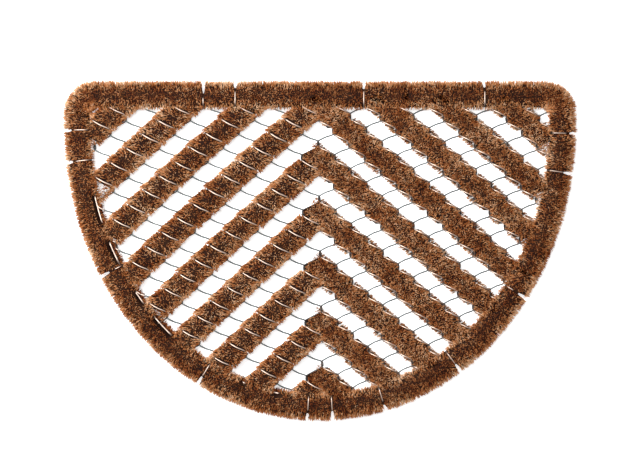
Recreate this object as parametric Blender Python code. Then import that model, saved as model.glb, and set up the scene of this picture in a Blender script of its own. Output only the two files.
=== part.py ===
"""Half-round scraper mat: coir brush bars in a chain-link wire mesh, with a coir brush border.

The mat lies flat. Its straight edge is towards +Y, its curved edge towards -Y, and its underside
is at Z = 0. Everything is in metres, and the origin is under the middle of the outline.
"""
import math

import bmesh
import bpy
from mathutils import Vector

MM = 0.001

# Outline of the mat: a straight edge, two rounded corners and a half ellipse
WIDTH = 762 * MM
DEPTH = 504 * MM
CORNER_RADIUS = 45 * MM
ELLIPSE_RISE = 440 * MM
THICKNESS = 32 * MM
CORNER_STEPS = 5
ELLIPSE_STEPS = 44
HALF_WIDTH = WIDTH / 2
TOP_Y = DEPTH / 2
ELLIPSE_Y = ELLIPSE_RISE - DEPTH / 2

# Chain-link mesh: flattened spirals run along Y, and their turns hook together at knots. Knots
# lie COLUMN apart across the mat and ROW apart along it, in every second place of that grid.
COLUMN = 23.85 * MM
ROW = 20.68 * MM
COLUMNS_A_SIDE = 15
FIRST_KNOT_Y = 162.2 * MM
ROWS_ABOVE = 5
MID_Z = THICKNESS / 2
LEG_RISE = 5 * MM
TURN_DROP = 5 * MM
TURN_REACH = 1.2 * MM
WIRE_RADIUS = 0.95 * MM
WIRE_SIDES = 3
LEG_FALL = 8 * MM
SHORTEST_LEG = 7 * MM
SHORTEST_RUN = 30 * MM
CROSSING_STEPS = 30

# The net is pulled a little askew: towards the curved edge it draws together and sags to the
# left. PULL gives how far, in millimetres, a place of the regular net lies to the right and
# away from the straight edge: constant, with x, with y, with both, and with the square of x,
# where x and y are shares of PULL_X and PULL_Y from PULL_MIDDLE_Y
PULL_X = 298 * MM
PULL_Y = 179 * MM
PULL_MIDDLE_Y = 46 * MM
PULL_RIGHT = (-0.7, -6.4, 3.3, -6.3, -2.4)
PULL_DOWN = (2.6, -3.0, -1.0, -5.0, 2.2)

# Frame wire, inside the border
FRAME_INSET = 33 * MM
FRAME_RADIUS = 1.5 * MM

# Brush border
BORDER_WIDTH = 41 * MM
PARTING_HALF_WIDTH = 3 * MM

# Coir bars: one cell in two rows of the mesh is filled, so that bars and gaps are equally wide.
# The first chevrons start behind the straight edge, and only their two arms show.
CHEVRON_ROWS = 4
APEX_ROW = -3
FIRST_CHEVRON = -3
LAST_CHEVRON = 5
BORDER_GAP = 0.4 * MM
APEX_GAP = 1.6 * MM
BUTT_GAP = 5.2 * MM
VALLEY_HALF_WIDTH = 4 * MM
MOST_CELLS = 40
BAR_OVERRUN = 22 * MM
FLAT_ANGLE = math.radians(0.2)

# Where the fibres of the border part round the tail of a wire: the place on the outer edge, and
# how deep the gap reaches, in millimetres
PARTINGS = (
    # x, y, depth
    (-173, 252, 9),
    (-125, 252, 7),
    (64, 252, 9),
    (244, 252, 6),
    (381, 175, 7),
    (377, 115, 12),
    (300, -66, 14),
    (206, -174, 12),
    (98, -238, 6),
    (19, -252, 12),
    (-19, -252, 8),
    (-180, -194, 12),
    (-317, -33, 14),
    (-378, 132, 8),
    (-381, 180, 9),
)

# Cross-section of the border, from its foot out and over the top and back through the groove
# that holds the frame wire: distance in from the outer edge and height, in millimetres
BORDER_SECTION = (
    # inset, height
    (5, 0),
    (0, 8),
    (0, 22),
    (8, 32),
    (33, 32),
    (40.5, 27),
    (41, 22.8),
    (31, 22.8),
    (31, 9.2),
    (41, 9.2),
    (40, 4),
    (35, 0),
)

# How each point of that section moves where the fibres part: inwards by a share of the parting's
# depth, and down by millimetres
PARTING_CHANGE = (
    # share of depth, drop
    (1.0, 0),
    (1.0, 0),
    (1.0, 0),
    (0.9, 3),
    (0.0, 3),
    (0.0, 1),
    (0.0, 0),
    (0.0, 0),
    (0.0, 0),
    (0.0, 0),
    (0.0, 0),
    (0.0, 0),
)

# Half cross-section of a bar to the left, from its foot to its crown: distance from the bar's
# middle line and height in millimetres, on a full tuft and where a wire crosses above its neck.
# Its foot is held in by the back wires along its edges. A bar to the right is the same, turned
# over: its crown is held in by the front wires, and the wires that cross it lie below its neck.
TUFT_SECTION = ((15, 0), (11, 9.4), (11, 22.6), (19.6, 26), (15, 32))
WIRE_SECTION = ((15, 0), (11, 9.4), (11, 13.4), (8, 14), (4, 14))

# Finishes: base colour, roughness and metallic value
COIR = ("coir", (0.30, 0.13, 0.05, 1.0), 0.9, 0.0)
GALVANISED_WIRE = ("galvanised_wire", (0.52, 0.50, 0.50, 1.0), 0.4, 1.0)


def clear_scene():
    for item in list(bpy.data.objects):
        bpy.data.objects.remove(item, do_unlink=True)


def make_collection(name):
    collection = bpy.data.collections.new(name)
    bpy.context.scene.collection.children.link(collection)
    return collection


def make_material(finish):
    name, colour, roughness, metallic = finish
    material = bpy.data.materials.new(name)
    material.use_nodes = True
    shader = material.node_tree.nodes["Principled BSDF"]
    shader.inputs["Base Color"].default_value = colour
    shader.inputs["Roughness"].default_value = roughness
    shader.inputs["Metallic"].default_value = metallic
    return material


def make_object(name, mesh, material, collection):
    item = bpy.data.objects.new(name, mesh)
    mesh.materials.clear()
    mesh.materials.append(material)
    collection.objects.link(item)
    return item


def hide_as_cutter(item):
    item.hide_render = True
    item.display_type = "WIRE"


# Outline

def arc_stations(centre, radius, first_angle, last_angle, steps):
    """Points and inward normals along a round corner, its ends included."""
    stations = []
    for step in range(steps + 1):
        angle = first_angle + (last_angle - first_angle) * step / steps
        outward = Vector((math.cos(angle), math.sin(angle)))
        stations.append((centre + outward * radius, -outward))
    return stations


def ellipse_station(angle):
    """A point on the curved edge and its inward normal; angle 0 is at +X, pi / 2 at the front."""
    point = Vector((HALF_WIDTH * math.cos(angle), ELLIPSE_Y - ELLIPSE_RISE * math.sin(angle)))
    outward = Vector((math.cos(angle) / HALF_WIDTH, -math.sin(angle) / ELLIPSE_RISE))
    return point, -outward.normalized()


def outer_stations(corner_steps, ellipse_steps):
    """The outer edge as stations, clockwise from the left end of the straight edge."""
    corner_x = HALF_WIDTH - CORNER_RADIUS
    corner_y = TOP_Y - CORNER_RADIUS
    left = Vector((-corner_x, corner_y))
    right = Vector((corner_x, corner_y))
    stations = arc_stations(left, CORNER_RADIUS, math.pi, math.pi / 2, corner_steps)
    stations += arc_stations(right, CORNER_RADIUS, math.pi / 2, 0, corner_steps)
    for step in range(ellipse_steps + 1):
        stations.append(ellipse_station(math.pi * step / ellipse_steps))
    return stations


def point_between(start, end, share):
    point = start[0].lerp(end[0], share)
    inward = start[1].lerp(end[1], share).normalized()
    return point, inward


def nearest_share(start, end, place):
    """How far along the side from start to end the point nearest to a place lies."""
    side = end[0] - start[0]
    share = (place - start[0]).dot(side) / side.length_squared
    return min(max(share, 0.0), 1.0)


def stations_with_partings(stations):
    """Add three stations for each parting: its two lips and its bottom between them."""
    sides = list(zip(stations, stations[1:] + stations[:1]))
    extra = {index: [] for index in range(len(sides))}
    for x, y, depth in PARTINGS:
        place = Vector((x * MM, y * MM))
        best = None
        for index, (start, end) in enumerate(sides):
            share = nearest_share(start, end, place)
            distance = (point_between(start, end, share)[0] - place).length
            if best is None or distance < best[0]:
                best = (distance, index, share)
        _, index, share = best
        start, end = sides[index]
        lip = PARTING_HALF_WIDTH / (end[0] - start[0]).length
        share = min(max(share, 1.5 * lip), 1 - 1.5 * lip)
        for change, cut in ((-lip, 0.0), (0.0, depth * MM), (lip, 0.0)):
            extra[index].append((share + change, cut))
    result = []
    for index, (start, end) in enumerate(sides):
        result.append((start[0], start[1], 0.0))
        for share, cut in sorted(extra[index]):
            point, inward = point_between(start, end, share)
            result.append((point, inward, cut))
    return result


def inset_polygon(stations, inset):
    return [point + inward * inset for point, inward, *_ in stations]


def depth_inside(polygon, place):
    """Distance from a place to the nearest side of a convex clockwise polygon, negative outside."""
    depth = math.inf
    for start, end in zip(polygon, polygon[1:] + polygon[:1]):
        side = end - start
        if side.length < 0.01 * MM:
            continue
        inward = Vector((side.y, -side.x)).normalized()
        depth = min(depth, (place - start).dot(inward))
    return depth


# Lofts

def loft(name, rings, material, collection, closed):
    """Join rings of equal length into one solid: a closed loop, or a bar with two caps.

    Faces that lie in one plane are merged, so that the straight stretches stay light.
    """
    mesh = bpy.data.meshes.new(name)
    shape = bmesh.new()
    rows = [[shape.verts.new(point) for point in ring] for ring in rings]
    pairs = list(zip(rows, rows[1:]))
    if closed:
        pairs.append((rows[-1], rows[0]))
    else:
        shape.faces.new(rows[0])
        shape.faces.new(list(reversed(rows[-1])))
    for near, far in pairs:
        count = len(near)
        for index in range(count):
            after = (index + 1) % count
            shape.faces.new((near[after], near[index], far[index], far[after]))
    bmesh.ops.recalc_face_normals(shape, faces=shape.faces[:])
    shape.normal_update()
    bmesh.ops.dissolve_limit(
        shape, angle_limit=FLAT_ANGLE, verts=shape.verts[:], edges=shape.edges[:]
    )
    bmesh.ops.triangulate(shape, faces=shape.faces[:])
    shape.to_mesh(mesh)
    shape.free()
    return make_object(name, mesh, material, collection)


# Brush border

def border_ring(point, inward, cut):
    ring = []
    for (inset, height), (share, drop) in zip(BORDER_SECTION, PARTING_CHANGE):
        if cut:
            inset = inset + share * cut / MM
            height = height - drop
        place = point + inward * inset * MM
        ring.append(Vector((place.x, place.y, height * MM)))
    return ring


def make_border(stations, material, collection):
    rings = [border_ring(*station) for station in stations]
    return loft("border_brush", rings, material, collection, closed=True)


# Wire mesh

def in_net(x, y):
    """Where a place of the regular net lies on the mat."""
    right = x / PULL_X
    down = (PULL_MIDDLE_Y - y) / PULL_Y
    terms = (1, right, down, right * down, right * right)
    pull_right = sum(factor * term for factor, term in zip(PULL_RIGHT, terms))
    pull_down = sum(factor * term for factor, term in zip(PULL_DOWN, terms))
    return x + pull_right * MM, y - pull_down * MM


def spiral_points(column):
    """The flattened spiral between two lines of knots, long enough to pass both edges."""
    left = column * COLUMN - TURN_REACH
    right = (column + 1) * COLUMN + TURN_REACH
    front = MID_Z + LEG_RISE
    back = MID_Z - LEG_RISE
    rows_up = ROWS_ABOVE if (column + ROWS_ABOVE) % 2 == 0 else ROWS_ABOVE + 1
    upper = FIRST_KNOT_Y + rows_up * ROW
    points = []
    while upper > -TOP_Y - 2 * ROW:
        middle = upper - ROW
        lower = middle - ROW
        points.append(Vector((*in_net(left, upper - TURN_DROP / 2), front)))
        points.append(Vector((*in_net(right, middle + TURN_DROP / 2), front)))
        points.append(Vector((*in_net(right, middle - TURN_DROP / 2), back)))
        points.append(Vector((*in_net(left, lower + TURN_DROP / 2), back)))
        upper = lower
    return points


def crossing(polygon, inside, outside):
    """The point where a leg of a spiral meets the frame wire."""
    low = 0.0
    high = 1.0
    for _ in range(CROSSING_STEPS):
        middle = (low + high) / 2
        if depth_inside(polygon, inside.lerp(outside, middle).xy) > 0:
            low = middle
        else:
            high = middle
    return inside.lerp(outside, low)


def close_run(polygon, run, outside):
    """End a run in the frame wire: its last leg stays level and then turns to the wire's height.

    A turn that lies close to the frame wire is left out, and the leg before it runs straight on.
    """
    meeting = crossing(polygon, run[-1], outside)
    if (meeting - run[-1]).length < SHORTEST_LEG and len(run) > 1:
        last = run[-1]
        run = run[:-1]
        if (last - run[-1]).length > COLUMN / 2:
            outside = run[-1].lerp(last, 2)
        meeting = crossing(polygon, run[-1], Vector((outside.x, outside.y, run[-1].z)))
    leg = meeting - run[-1]
    bend = meeting - leg.normalized() * min(LEG_FALL, leg.length / 2)
    return run + [bend, Vector((meeting.x, meeting.y, MID_Z))]


def runs_inside(polygon, points):
    """Cut a spiral at the frame wire into the runs that lie inside it."""
    runs = []
    run = []
    before = points[0]
    for start, end in zip(points, points[1:]):
        if depth_inside(polygon, start.xy) <= 0:
            before = start
            continue
        run.append(start)
        if depth_inside(polygon, end.xy) <= 0:
            run = close_run(polygon, run, end)
            run = close_run(polygon, run[::-1], before)
            runs.append(run)
            run = []
    return runs


def run_length(run):
    return sum((end - start).length for start, end in zip(run, run[1:]))


def wire_profile(collection):
    """The section of the spiral wire, drawn with few sides."""
    data = bpy.data.curves.new("wire_profile", "CURVE")
    spline = data.splines.new("POLY")
    spline.points.add(WIRE_SIDES - 1)
    for index, point in enumerate(spline.points):
        angle = math.tau * index / WIRE_SIDES
        point.co = (WIRE_RADIUS * math.cos(angle), WIRE_RADIUS * math.sin(angle), 0, 1)
    spline.use_cyclic_u = True
    profile = bpy.data.objects.new("wire_profile", data)
    collection.objects.link(profile)
    hide_as_cutter(profile)
    return profile


def wire_curve(name, points, cyclic, profile=None, radius=0.0):
    data = bpy.data.curves.new(name, "CURVE")
    data.dimensions = "3D"
    data.use_fill_caps = True
    if profile:
        data.bevel_mode = "OBJECT"
        data.bevel_object = profile
    else:
        data.bevel_depth = radius
        data.bevel_resolution = 0
    spline = data.splines.new("POLY")
    spline.points.add(len(points) - 1)
    for point, place in zip(spline.points, points):
        point.co = (place.x, place.y, place.z, 1)
    spline.use_cyclic_u = cyclic
    return bpy.data.objects.new(name, data)


def curve_to_mesh(name, curve, material, collection):
    """Turn a wire curve into a closed mesh object and remove the curve."""
    bpy.context.scene.collection.objects.link(curve)
    evaluated = curve.evaluated_get(bpy.context.evaluated_depsgraph_get())
    mesh = bpy.data.meshes.new_from_object(evaluated)
    shape = bmesh.new()
    shape.from_mesh(mesh)
    bmesh.ops.remove_doubles(shape, verts=shape.verts, dist=0.00001)
    bmesh.ops.triangulate(shape, faces=shape.faces[:])
    bmesh.ops.recalc_face_normals(shape, faces=shape.faces[:])
    shape.to_mesh(mesh)
    shape.free()
    item = make_object(name, mesh, material, collection)
    item.matrix_world = curve.matrix_world
    bpy.data.objects.remove(curve, do_unlink=True)
    return item


def make_wire_mesh(stations, material, collection, cutters):
    """The frame wire, with every run of spiral joined to it at both ends."""
    polygon = inset_polygon(stations, FRAME_INSET)
    ring = [Vector((point.x, point.y, MID_Z)) for point in polygon]
    curve = wire_curve("frame_wire", ring, True, radius=FRAME_RADIUS)
    frame = curve_to_mesh("wire_mesh", curve, material, collection)
    spirals = bpy.data.collections.new("spiral_runs")
    cutters.children.link(spirals)
    profile = wire_profile(cutters)
    for column in range(-COLUMNS_A_SIDE, COLUMNS_A_SIDE):
        for run in runs_inside(polygon, spiral_points(column)):
            if run_length(run) > SHORTEST_RUN:
                curve = wire_curve("run_line", run, False, profile)
                hide_as_cutter(curve_to_mesh("spiral_run", curve, material, spirals))
    union = frame.modifiers.new("spirals", "BOOLEAN")
    union.operation = "UNION"
    union.solver = "EXACT"
    union.operand_type = "COLLECTION"
    union.collection = spirals
    return frame


# Coir bars

def turned_over(section):
    return [(distance, THICKNESS / MM - height) for distance, height in reversed(section)]


def bar_ring(base, along, across, reach, shear, section):
    """One section of a bar: its plane is sheared so that it follows the wire that crosses there."""
    half = [(distance * MM, height * MM) for distance, height in section]
    outline = half + [(-distance, height) for distance, height in reversed(half)]
    ring = []
    for offset, height in outline:
        place = base + along * (reach + offset * shear) + across * offset
        ring.append(Vector((*in_net(place.x, place.y), height)))
    return ring


def bar_rings(side, chevron, polygon):
    """Sections along one bar, from the middle line out to past the border.

    Side is 1 for a bar to the right of the middle line, which holds the cell at the chevron's
    apex and is crossed by wires below its neck. Side is -1 for a bar to the left, which butts
    against the right one and is crossed by wires above its neck.
    """
    apex = Vector((0, FIRST_KNOT_Y - ROW * (CHEVRON_ROWS * chevron + APEX_ROW)))
    pitch = math.hypot(COLUMN, ROW)
    along = Vector((side * COLUMN, -ROW)) / pitch
    across = Vector((-along.y, along.x))
    leg = Vector((-side * (COLUMN + 2 * TURN_REACH), TURN_DROP - ROW))
    edge = Vector((-side * COLUMN, -ROW))
    leg_shear = leg.dot(along) / leg.dot(across)
    edge_shear = edge.dot(along) / edge.dot(across)
    tuft, crossed = TUFT_SECTION, WIRE_SECTION
    first_wire, start_gap, start_shear = 0.5, BUTT_GAP, edge_shear
    if side > 0:
        tuft, crossed = turned_over(tuft), turned_over(crossed)
        first_wire, start_gap, start_shear = -0.5, APEX_GAP, leg_shear
    start = first_wire * pitch + start_gap
    rings = [bar_ring(apex, along, across, start, start_shear, tuft)]
    for cell in range(1, MOST_CELLS):
        wire = (first_wire + cell) * pitch
        before = wire - VALLEY_HALF_WIDTH
        after = wire + VALLEY_HALF_WIDTH
        place = Vector(in_net(*(apex + along * before)))
        if depth_inside(polygon, place) < -BAR_OVERRUN:
            if place.y < TOP_Y - BORDER_WIDTH:
                break
            rings = []
            continue
        rings.append(bar_ring(apex, along, across, before, leg_shear, tuft))
        rings.append(bar_ring(apex, along, across, wire, leg_shear, crossed))
        rings.append(bar_ring(apex, along, across, after, leg_shear, tuft))
    rings.append(bar_ring(apex, along, across, before, leg_shear, tuft))
    return rings


def make_interior(stations, cutters):
    """The space inside the border, which every bar is trimmed to."""
    polygon = inset_polygon(stations, BORDER_WIDTH + BORDER_GAP)
    mesh = bpy.data.meshes.new("interior")
    shape = bmesh.new()
    floor = [shape.verts.new((point.x, point.y, -THICKNESS)) for point in polygon]
    bottom = shape.faces.new(floor)
    lifted = bmesh.ops.extrude_face_region(shape, geom=[bottom], use_keep_orig=True)
    tops = [item for item in lifted["geom"] if isinstance(item, bmesh.types.BMVert)]
    bmesh.ops.translate(shape, verts=tops, vec=(0, 0, 3 * THICKNESS))
    bmesh.ops.recalc_face_normals(shape, faces=shape.faces[:])
    shape.to_mesh(mesh)
    shape.free()
    interior = bpy.data.objects.new("interior", mesh)
    cutters.objects.link(interior)
    hide_as_cutter(interior)
    return interior


def keep_largest(item):
    """Drop the loose slivers that a slanting trim leaves beside a bar."""
    shape = bmesh.new()
    shape.from_mesh(item.data)
    waiting = set(shape.verts)
    islands = []
    while waiting:
        island = set()
        front = [waiting.pop()]
        while front:
            vert = front.pop()
            island.add(vert)
            for edge in vert.link_edges:
                other = edge.other_vert(vert)
                if other in waiting:
                    waiting.remove(other)
                    front.append(other)
        islands.append(island)
    largest = max(islands, key=len)
    spare = [vert for vert in shape.verts if vert not in largest]
    bmesh.ops.delete(shape, geom=spare, context="VERTS")
    shape.to_mesh(item.data)
    shape.free()


def make_bar(name, side, chevron, polygon, interior, material, collection):
    bar = loft(name, bar_rings(side, chevron, polygon), material, collection, closed=False)
    trim = bar.modifiers.new("trim", "BOOLEAN")
    trim.operation = "INTERSECT"
    trim.solver = "EXACT"
    trim.object = interior
    evaluated = bar.evaluated_get(bpy.context.evaluated_depsgraph_get())
    trimmed = bpy.data.meshes.new_from_object(evaluated)
    bar.modifiers.remove(trim)
    bar.data = trimmed
    keep_largest(bar)
    return bar


def main():
    clear_scene()
    mat = make_collection("scraper_mat")
    cutters = make_collection("cutters")
    coir = make_material(COIR)
    wire = make_material(GALVANISED_WIRE)
    outline = outer_stations(CORNER_STEPS, ELLIPSE_STEPS)
    make_border(stations_with_partings(outline), coir, mat)
    make_wire_mesh(outline, wire, mat, cutters)
    interior = make_interior(outline, cutters)
    polygon = inset_polygon(outline, BORDER_WIDTH)
    for chevron in range(FIRST_CHEVRON, LAST_CHEVRON + 1):
        number = chevron - FIRST_CHEVRON + 1
        make_bar(f"left_bar_{number}", -1, chevron, polygon, interior, coir, mat)
        make_bar(f"right_bar_{number}", 1, chevron, polygon, interior, coir, mat)


main()
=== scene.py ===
# %% [markdown]
# A half-round scraper mat, seen from straight above. A net of galvanised wire spirals grips bars
# of coir brush in a chevron pattern, and a coir brush border runs all round on the frame wire.
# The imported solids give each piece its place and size. This script dresses them: round wire in
# place of three-sided wire, and coir drawn fibre by fibre in place of the plain bars.

# %% Load the fixed frame
import math

import bmesh
import bpy
import numpy as np
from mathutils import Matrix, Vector


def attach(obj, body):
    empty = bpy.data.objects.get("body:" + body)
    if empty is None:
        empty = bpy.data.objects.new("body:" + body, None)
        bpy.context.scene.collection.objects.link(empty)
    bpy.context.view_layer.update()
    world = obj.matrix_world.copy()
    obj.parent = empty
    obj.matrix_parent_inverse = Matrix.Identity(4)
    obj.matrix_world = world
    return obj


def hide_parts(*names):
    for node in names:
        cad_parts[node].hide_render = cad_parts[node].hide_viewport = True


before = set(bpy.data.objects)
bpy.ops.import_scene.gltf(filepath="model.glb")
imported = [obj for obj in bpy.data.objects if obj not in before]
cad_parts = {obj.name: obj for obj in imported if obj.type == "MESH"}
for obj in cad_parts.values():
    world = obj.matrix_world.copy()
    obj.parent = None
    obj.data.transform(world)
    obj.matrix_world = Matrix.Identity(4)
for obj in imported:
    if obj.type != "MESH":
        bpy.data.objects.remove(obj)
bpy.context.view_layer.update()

# %% [markdown]
# The camera comes first. It looks straight down, with the straight edge of the mat at the top
# of the picture. A long lens from four metres up keeps the brush tips almost free of parallax.

# %% Camera
MM = 0.001
FRAME_WIDTH_PX = 640
FRAME_HEIGHT_PX = 476
ORIGIN_ROW_PX = 251
MM_A_PIXEL = 1.488
CAMERA_HEIGHT = 4000
PILE_TOP = 32
SENSOR_WIDTH = 36
SEEN_TO = 100  # metres, past the far edge of the floor

to_scene = bpy.context.scene.collection.objects.link
camera_data = bpy.data.cameras.new("camera")
camera = bpy.data.objects.new("camera", camera_data)
to_scene(camera)
bpy.context.scene.camera = camera
centre_y = (ORIGIN_ROW_PX - FRAME_HEIGHT_PX / 2) * MM_A_PIXEL
camera.location = (0, centre_y * MM, CAMERA_HEIGHT * MM)
camera_data.sensor_width = SENSOR_WIDTH
camera_data.lens = SENSOR_WIDTH * (CAMERA_HEIGHT - PILE_TOP) / (FRAME_WIDTH_PX * MM_A_PIXEL)
camera_data.clip_end = SEEN_TO
print("lens in mm:", round(camera_data.lens, 1))

# %% [markdown]
# Every finish is a small node tree. One function turns a hex colour, which is sRGB, into the
# linear values that Blender's sockets hold, and another adds a node with its settings, the
# values of its sockets and the links into them.

# %% Colour and node helpers
def linear(hex_colour):
    """An sRGB hex colour as linear red, green, blue and alpha."""
    channels = []
    for start in (1, 3, 5):
        value = int(hex_colour[start:start + 2], 16) / 255
        channels.append(value / 12.92 if value <= 0.04045 else ((value + 0.055) / 1.055) ** 2.4)
    return (*channels, 1.0)


def add_node(tree, kind, settings=(), values=(), links=()):
    node = tree.nodes.new(kind)
    for name, setting in dict(settings).items():
        setattr(node, name, setting)
    for socket, value in dict(values).items():
        node.inputs[socket].default_value = value
    for socket, source in dict(links).items():
        tree.links.new(source, node.inputs[socket])
    return node


def set_ramp(ramp, stops):
    """Give a colour ramp its stops, pairs of place and hex colour."""
    elements = ramp.color_ramp.elements
    while len(elements) < len(stops):
        elements.new(0.5)
    for element, (place, hex_colour) in zip(elements, stops):
        element.position = place
        element.color = linear(hex_colour)


print("mid brown, linear:", [round(channel, 3) for channel in linear("#7a4420")])

# %% [markdown]
# Coir is the husk fibre of the coconut: stiff, matt and red-brown, with paler and darker fibres
# mixed in every tuft. Each fibre in this model carries two values. "reach" is 0 at its root and
# 1 at its tip. The finish paints shade towards the roots, because little light gets down there,
# so each fibre is darkest at its root and keeps its full colour at the tip.
# "tone" tells one fibre from the next. Two noises shift it: slow patches over whole tufts, and
# a fine grain, which also drives the roughness and the bump.

# %% Coir fibre finish
PATCH_SIZE = 18 * MM
PATCH_SHIFT = 0.12
GRAIN_SIZE = 1.4 * MM  # real coir is grained at about 0.3 mm; coarser here, to show at all
GRAIN_SHIFT = 0.05
ROOT_SHADE = "#140602"
COIR_TONES = (
    (0.00, "#34120a"),
    (0.25, "#76381b"),
    (0.50, "#ac6534"),
    (0.75, "#d49866"),
    (1.00, "#f0c9a4"),
)

coir = bpy.data.materials.new("coir_fibre_natural")
coir.use_nodes = True
tree = coir.node_tree
coir_shader = tree.nodes["Principled BSDF"]
place = add_node(tree, "ShaderNodeTexCoord")
reach = add_node(tree, "ShaderNodeAttribute", {"attribute_name": "reach"})
tone = add_node(tree, "ShaderNodeAttribute", {"attribute_name": "tone"})
fibre_tone = tone.outputs["Fac"]
for size, detail, most in ((PATCH_SIZE, 3, PATCH_SHIFT), (GRAIN_SIZE, 2, GRAIN_SHIFT)):
    grain = add_node(tree, "ShaderNodeTexNoise", {}, {"Scale": 1 / size, "Detail": detail},
                     {"Vector": place.outputs["Object"]})
    shift = add_node(tree, "ShaderNodeMapRange", {},
                     {"From Min": 0.3, "From Max": 0.7, "To Min": -most, "To Max": most},
                     {"Value": grain.outputs["Fac"]})
    shifted = add_node(tree, "ShaderNodeMath", {"operation": "ADD"}, {},
                       {0: fibre_tone, 1: shift.outputs["Result"]})
    fibre_tone = shifted.outputs[0]
fibre_colour = add_node(tree, "ShaderNodeValToRGB", {}, {}, {"Fac": fibre_tone})
set_ramp(fibre_colour, COIR_TONES)
# painted shade: the colour darkens from the fibre colour to the root shade towards each root
lit_share = add_node(tree, "ShaderNodeMapRange", {},
                     {"From Min": 0.1, "From Max": 0.82, "To Min": 0.0, "To Max": 1.0},
                     {"Value": reach.outputs["Fac"]})
coir_colour = add_node(tree, "ShaderNodeMix", {"data_type": "RGBA"}, {6: linear(ROOT_SHADE)},
                       {0: lit_share.outputs["Result"], 7: fibre_colour.outputs["Color"]})
coir_roughness = add_node(tree, "ShaderNodeMapRange", {}, {"To Min": 0.62, "To Max": 0.88},
                          {"Value": grain.outputs["Fac"]})
coir_bump = add_node(tree, "ShaderNodeBump", {}, {"Strength": 0.3, "Distance": 0.2 * MM},
                     {"Height": grain.outputs["Fac"]})
tree.links.new(coir_colour.outputs[2], coir_shader.inputs["Base Color"])
tree.links.new(coir_roughness.outputs["Result"], coir_shader.inputs["Roughness"])
tree.links.new(coir_bump.outputs["Normal"], coir_shader.inputs["Normal"])
coir_shader.inputs["Specular IOR Level"].default_value = 0.1
print("coir finish:", len(tree.nodes), "nodes")

# %% [markdown]
# The wire is drawn steel with a hot-dip zinc coat, a dull satin metal. Its colour holds painted
# light: a value on each wire, from 0 to 1, paints a pale, warm highlight where the wire lies high
# in the coir, and leaves it a darker grey where it hangs free over a gap. Faces that point up get
# the full painted highlight and faces that point sideways get less, so the flanks stay darker, as
# painted shade.

# %% Galvanised wire finish
ZINC_PATCH = 3 * MM

zinc = bpy.data.materials.new("galvanised_steel_wire")
zinc.use_nodes = True
tree = zinc.node_tree
zinc_shader = tree.nodes["Principled BSDF"]
place = add_node(tree, "ShaderNodeTexCoord")
# painted highlight: a value from 0 to 1 on each wire, high where it lies in coir
painted_highlight = add_node(tree, "ShaderNodeAttribute", {"attribute_name": "painted_highlight"})
zinc_patches = add_node(tree, "ShaderNodeTexNoise", {}, {"Scale": 1 / ZINC_PATCH, "Detail": 2},
                        {"Vector": place.outputs["Object"]})
zinc_shift = add_node(tree, "ShaderNodeMapRange", {}, {"To Min": -0.15, "To Max": 0.15},
                      {"Value": zinc_patches.outputs["Fac"]})
surface = add_node(tree, "ShaderNodeNewGeometry")
# painted light and shade: faces that point up get the full highlight, sideways faces less
facing = add_node(tree, "ShaderNodeSeparateXYZ", {}, {}, {"Vector": surface.outputs["Normal"]})
upward_highlight = add_node(tree, "ShaderNodeMapRange", {},
                       {"From Min": 0.5, "From Max": 0.97, "To Min": 0.42, "To Max": 1.0},
                       {"Value": facing.outputs["Z"]})
highlight_share = add_node(tree, "ShaderNodeMath", {"operation": "MULTIPLY"}, {},
                        {0: painted_highlight.outputs["Fac"], 1: upward_highlight.outputs["Result"]})
zinc_tone = add_node(tree, "ShaderNodeMath", {"operation": "ADD"}, {},
                     {0: highlight_share.outputs[0], 1: zinc_shift.outputs["Result"]})
zinc_colour = add_node(tree, "ShaderNodeValToRGB", {}, {}, {"Fac": zinc_tone.outputs[0]})
# from darker grey over the gaps to a pale, warm painted highlight in the coir
set_ramp(zinc_colour, ((0.0, "#62696a"), (0.45, "#857a74"), (1.0, "#dcc5b5")))
zinc_roughness = add_node(tree, "ShaderNodeMapRange", {}, {"To Min": 0.42, "To Max": 0.62},
                          {"Value": zinc_patches.outputs["Fac"]})
tree.links.new(zinc_colour.outputs["Color"], zinc_shader.inputs["Base Color"])
tree.links.new(zinc_roughness.outputs["Result"], zinc_shader.inputs["Roughness"])
zinc_shader.inputs["Metallic"].default_value = 1.0
print("wire finish:", len(tree.nodes), "nodes")

# %% [markdown]
# The mat lies on a white sheet under soft light. A faint glow in the sheet keeps the gaps
# between the bars white, as on a light table. A wide lamp high on the left gives the wires
# their light side, and the pale sky fills the rest.

# %% Floor and light
FLOOR_HALF_SIZE = 6
FLOOR_GLOW = 0.75
SKY_STRENGTH = 0.5
LAMP_PLACE = Vector((-1.0, 0.7, 2.5))
LAMP_SIZE = 1.6
LAMP_POWER = 125

paper = bpy.data.materials.new("white_paper_sheet")
paper.use_nodes = True
paper_shader = paper.node_tree.nodes["Principled BSDF"]
for entry, value in (("Base Color", linear("#f4f4f4")), ("Roughness", 0.9),
                     ("Emission Color", linear("#ffffff")), ("Emission Strength", FLOOR_GLOW)):
    paper_shader.inputs[entry].default_value = value

floor_mesh = bpy.data.meshes.new("floor")
shape = bmesh.new()
bmesh.ops.create_grid(shape, x_segments=1, y_segments=1, size=FLOOR_HALF_SIZE)
shape.to_mesh(floor_mesh)
shape.free()
floor_mesh.materials.append(paper)
floor = bpy.data.objects.new("floor", floor_mesh)
to_scene(floor)

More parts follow.
